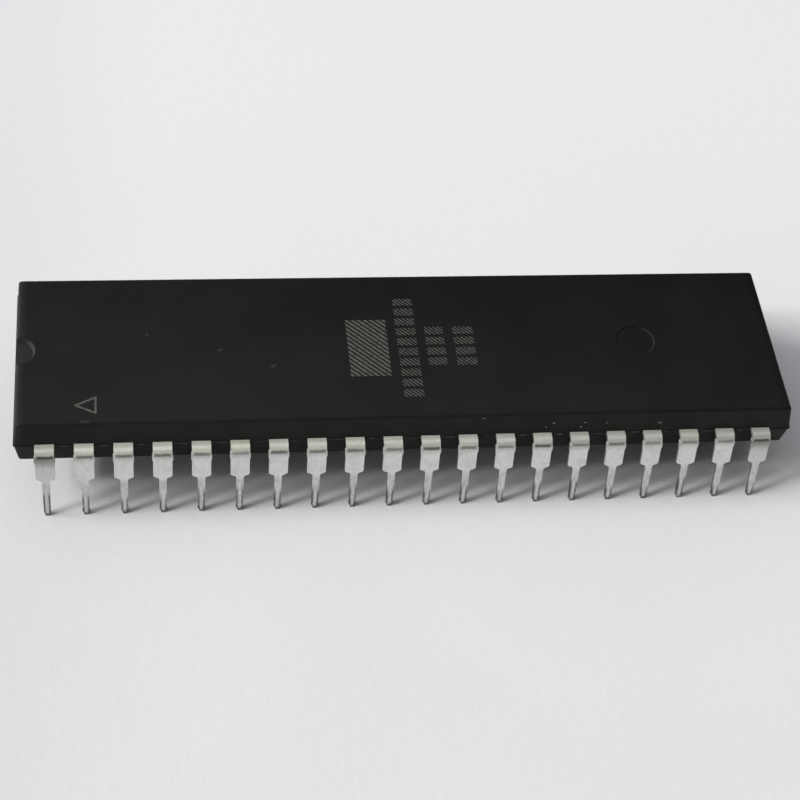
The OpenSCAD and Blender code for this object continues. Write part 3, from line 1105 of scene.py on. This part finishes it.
@dataclass
class FlashSlivers:
    """Slivers of resin on the parting line between the leads, where the dam bar was trimmed."""

    sizes: PackageSizes
    length: float = 0.62 * MM
    width: float = 0.2 * MM
    thickness: float = 0.06 * MM
    least: Point = (0.5, 0.55, 0.7)
    most: Point = (1.25, 1.1, 1.2)
    drift: Point = mm(0.2, 0.0, 0.015)
    seed: int = 11

    def build(self, material: bpy.types.Material) -> bpy.types.Object:
        """Builds a sliver for each gap between two leads of both rows.

        Args:
            material: The resin of the flash.

        Returns:
            The piece.
        """
        piece = RepeatedPiece("flash_slivers", Slot.MOULDING, material, self.seed)
        g = piece.graph
        sizes = self.sizes
        gaps = sizes.leads_in_row - 1
        first = Vector((-(gaps - 1) * sizes.pitch / 2, -sizes.half_width, sizes.part_height))
        half = Vector((self.length / 2, self.width / 2, self.thickness / 2))
        line = piece.line(gaps, first, sizes.pitch)
        drift = piece.size("Drift", Vector(self.drift))
        moved = piece.chance(g.vector("MULTIPLY", drift, (-1.0, -1.0, -1.0)), drift)
        line = g.add("GeometryNodeSetPosition", {"Geometry": line, "Offset": moved}).outputs[0]
        ball = g.add("GeometryNodeMeshUVSphere", {"Segments": 10, "Rings": 6, "Radius": 1.0}).outputs[0]
        near = piece.copies(line, ball, half, Vector(self.least), Vector(self.most))
        return piece.make(piece.both_rows(near))


@dataclass
class EdgeCrumbs:
    """Pale crumbs that handling has left on the near side of the moulding, from its middle to lead 20."""

    sizes: PackageSizes
    size: float = 0.075 * MM
    least: Point = (0.5, 0.6, 0.5)
    seed: int = 3
    places: tuple[tuple[float, ...], ...] = (
        mm(4.78, 6.77),
        mm(9.1, 5.9),
        mm(9.61, 6.23),
        mm(11.52, 5.83),
        mm(11.75, 6.22),
        mm(13.28, 6.17),
        mm(16.93, 6.04),
        mm(17.06, 6.08),
    )

    def build(self, material: bpy.types.Material) -> bpy.types.Object:
        """Builds a crumb at each place.

        Args:
            material: The pale resin dust.

        Returns:
            The piece.
        """
        piece = RepeatedPiece("edge_crumbs", Slot.MOULDING, material, self.seed)
        sizes = self.sizes
        draft = math.tan(math.radians(sizes.upper_draft_deg))
        for x, z in self.places:
            piece.places.append((x, -sizes.half_width + (z - sizes.part_height) * draft, z))
        half = Vector((1.5 * self.size, 0.35 * self.size, self.size))
        ball = piece.graph.add("GeometryNodeMeshIcoSphere", {"Radius": 1.0, "Subdivisions": 2}).outputs[0]
        return piece.make(piece.copies(piece.points, ball, half, Vector(self.least), Vector((1.0, 1.0, 1.0))))


@dataclass
class CarriedNodes:
    """CAD nodes whose shape stays, each dressed in its finish."""

    effects: Effects

    def dress(self, names: Sequence[str], material: bpy.types.Material) -> None:
        """Gives nodes a finish.

        Args:
            names: Names of the CAD nodes.
            material: The finish.
        """
        for name in names:
            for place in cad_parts[name].material_slots:
                place.material = material
        log.info("%s on %s", material.name, ", ".join(names[:3]) + (" ..." if len(names) > 3 else ""))

    def dress_inside(self) -> None:
        """Dresses the die pad, the adhesive, the die and the bond wires."""
        finishes = {
            "die_pad": PlainFinish("Stamped copper alloy", (0.55, 0.53, 0.5), (0.4, 0.38, 0.36), 0.4, 0.9),
            "die_adhesive": PlainFinish("Silver filled adhesive", (0.32, 0.32, 0.31), (0.22,) * 3, 0.6),
            "silicon_die": PlainFinish("Polished silicon", (0.12, 0.13, 0.16), (0.09, 0.1, 0.13), 0.16),
            "bond_wires": PlainFinish("Gold wire", (0.85, 0.62, 0.22), (0.7, 0.48, 0.16), 0.25, 1.0),
        }
        for name, finish in finishes.items():
            self.dress([name], finish.build(self.effects))


@dataclass
class PhotoCamera:
    """The camera, at the angle from which the photograph was taken."""

    aim: Vector = field(default_factory=lambda: Vector((1.93, -5.226, 7.05)) * MM)
    distance: float = 133.12 * MM
    azimuth_deg: float = 13.0
    elevation_deg: float = 48.456
    roll_deg: float = 8.585
    focal_mm: float = 89.582
    shift: tuple[float, float] = (-0.05, 0.0014)

    def build(self) -> bpy.types.Object:
        """Makes the camera and sets it as the scene's.

        Returns:
            The camera.
        """
        azimuth = math.radians(self.azimuth_deg)
        elevation = math.radians(self.elevation_deg)
        roll = math.radians(self.roll_deg)
        level = Vector((math.sin(azimuth), math.cos(azimuth), 0.0))
        ahead = level * math.cos(elevation) - Vector((0.0, 0.0, math.sin(elevation)))
        right = ahead.cross(Vector((0.0, 0.0, 1.0))).normalized()
        above = right.cross(ahead)
        rolled_right = right * math.cos(roll) + above * math.sin(roll)
        rolled_above = above * math.cos(roll) - right * math.sin(roll)
        data = bpy.data.cameras.new("Camera")
        data.lens = self.focal_mm
        data.sensor_width = 36.0
        data.shift_x, data.shift_y = self.shift
        data.clip_start = 0.01
        data.clip_end = 20.0
        camera = bpy.data.objects.new("Camera", data)
        axes = Matrix((rolled_right, rolled_above, -ahead)).transposed()
        camera.matrix_world = Matrix.Translation(self.aim - ahead * self.distance) @ axes.to_4x4()
        bpy.context.scene.collection.objects.link(camera)
        bpy.context.scene.camera = camera
        return camera


@dataclass(frozen=True)
class SoftLamp:
    """An area lamp that points at the part."""

    name: str
    towards: Point
    width: float
    height: float
    power: float
    distance: float = 3.0
    colour: Colour = (1.0, 0.985, 0.96)

    def build(self) -> bpy.types.Object:
        """Adds the lamp.

        Returns:
            The lamp.
        """
        data = bpy.data.lights.new(self.name, "AREA")
        data.shape = "RECTANGLE"
        data.size = self.width
        data.size_y = self.height
        data.energy = self.power
        data.color = self.colour
        lamp = bpy.data.objects.new(self.name, data)
        towards = Vector(self.towards).normalized()
        turn = towards.to_track_quat("Z", "Y").to_matrix().to_4x4()
        lamp.matrix_world = Matrix.Translation(towards * self.distance) @ turn
        bpy.context.scene.collection.objects.link(lamp)
        return lamp


@dataclass
class Studio:
    """Pale paper, soft lamps on the left, and a surround that is brightest overhead on the left."""

    floor_half: float = 1.5
    lamps: tuple[SoftLamp, ...] = (
        SoftLamp("Window", (-0.736, 0.015, 0.675), 1.65, 0.89, 55.3),
        SoftLamp("Window pane", (-0.77, -0.2, 0.605), 0.45, 0.45, 16.7),
    )
    surround_cool: Colour = (0.94, 0.97, 1.0)
    surround_warm: Colour = (1.0, 0.95, 0.86)
    surround_from: Point = (-0.6, 0.3, 0.74)
    surround_high: float = 0.748
    surround_low: float = 0.028
    backdrop: Colour = (0.83, 0.83, 0.845)

    def build(self, effects: Effects) -> None:
        """Builds the floor, the lamps and the surround.

        Args:
            effects: The shared groups.
        """
        half = self.floor_half
        mesh = bpy.data.meshes.new("floor")
        corners = [(-half, -half, 0.0), (half, -half, 0.0), (half, half, 0.0), (-half, half, 0.0)]
        mesh.from_pydata(corners, [], [(0, 1, 2, 3)])
        mesh.materials.append(PaperFinish().build(effects))
        floor = bpy.data.objects.new("floor", mesh)
        bpy.context.scene.collection.objects.link(floor)
        for lamp in self.lamps:
            lamp.build()
        self._surround()

    def _surround(self) -> None:
        """Adds the light from all round, and the pale backdrop that the camera sees."""
        world = bpy.data.worlds.new("Surround")
        world.use_nodes = True
        world.node_tree.nodes.clear()
        g = Graph(world.node_tree)
        direction = g.add("ShaderNodeTexCoord").outputs["Generated"]
        brightest = tuple(Vector(self.surround_from).normalized())
        facing = g.vector("DOT_PRODUCT", direction, brightest, output="Value")
        level = g.ramp(facing, 0.0, 1.0, self.surround_low, self.surround_high)
        colour = g.mix(g.ramp(facing, 0.0, 0.5), self.surround_warm, self.surround_cool)
        light = g.add("ShaderNodeBackground", {"Color": colour, "Strength": level})
        seen = g.add("ShaderNodeBackground", {"Color": self.backdrop, "Strength": 1.0})
        camera_ray = g.add("ShaderNodeLightPath").outputs["Is Camera Ray"]
        both = g.add("ShaderNodeMixShader", {0: camera_ray, 1: light.outputs[0], 2: seen.outputs[0]})
        g.add("ShaderNodeOutputWorld", {"Surface": both.outputs[0]})
        bpy.context.scene.world = world


def keep_sizes() -> None:
    """Defines a helper that turns a box into plain lists of numbers, and does nothing else."""

    def plain(box: Sequence[Sequence[float]]) -> list[list[float]]:
        """Turns a box into lists of numbers."""
        return [[float(v) for v in corner] for corner in box]


def main() -> None:
    """Dresses the part and sets up the view of it."""
    logging.basicConfig(level=logging.INFO, format="%(message)s")
    bpy.context.scene.view_settings.view_transform = "Standard"
    sizes = PackageSizes()
    effects = Effects(sizes)
    moulding = MouldingFinish().build(effects)
    tin = TinFinish().build(effects)
    dust = PlainFinish("Pale resin dust", (0.2, 0.2, 0.185), (0.1, 0.1, 0.095), 0.8).build(effects)
    flash = PlainFinish("Resin flash", (0.06, 0.058, 0.053), (0.02, 0.02, 0.018), 0.7).build(effects)
    nodes = CarriedNodes(effects)
    nodes.dress(["body"], moulding)
    nodes.dress([name for name in sorted(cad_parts) if name.startswith("lead_")], tin)
    nodes.dress_inside()
    TinBeads(sizes).build(tin)
    FlashSlivers(sizes).build(flash)
    EdgeCrumbs(sizes).build(dust)
    PhotoCamera().build()
    Studio().build(effects)
    keep_sizes()


if __name__ == "__main__":
    main()
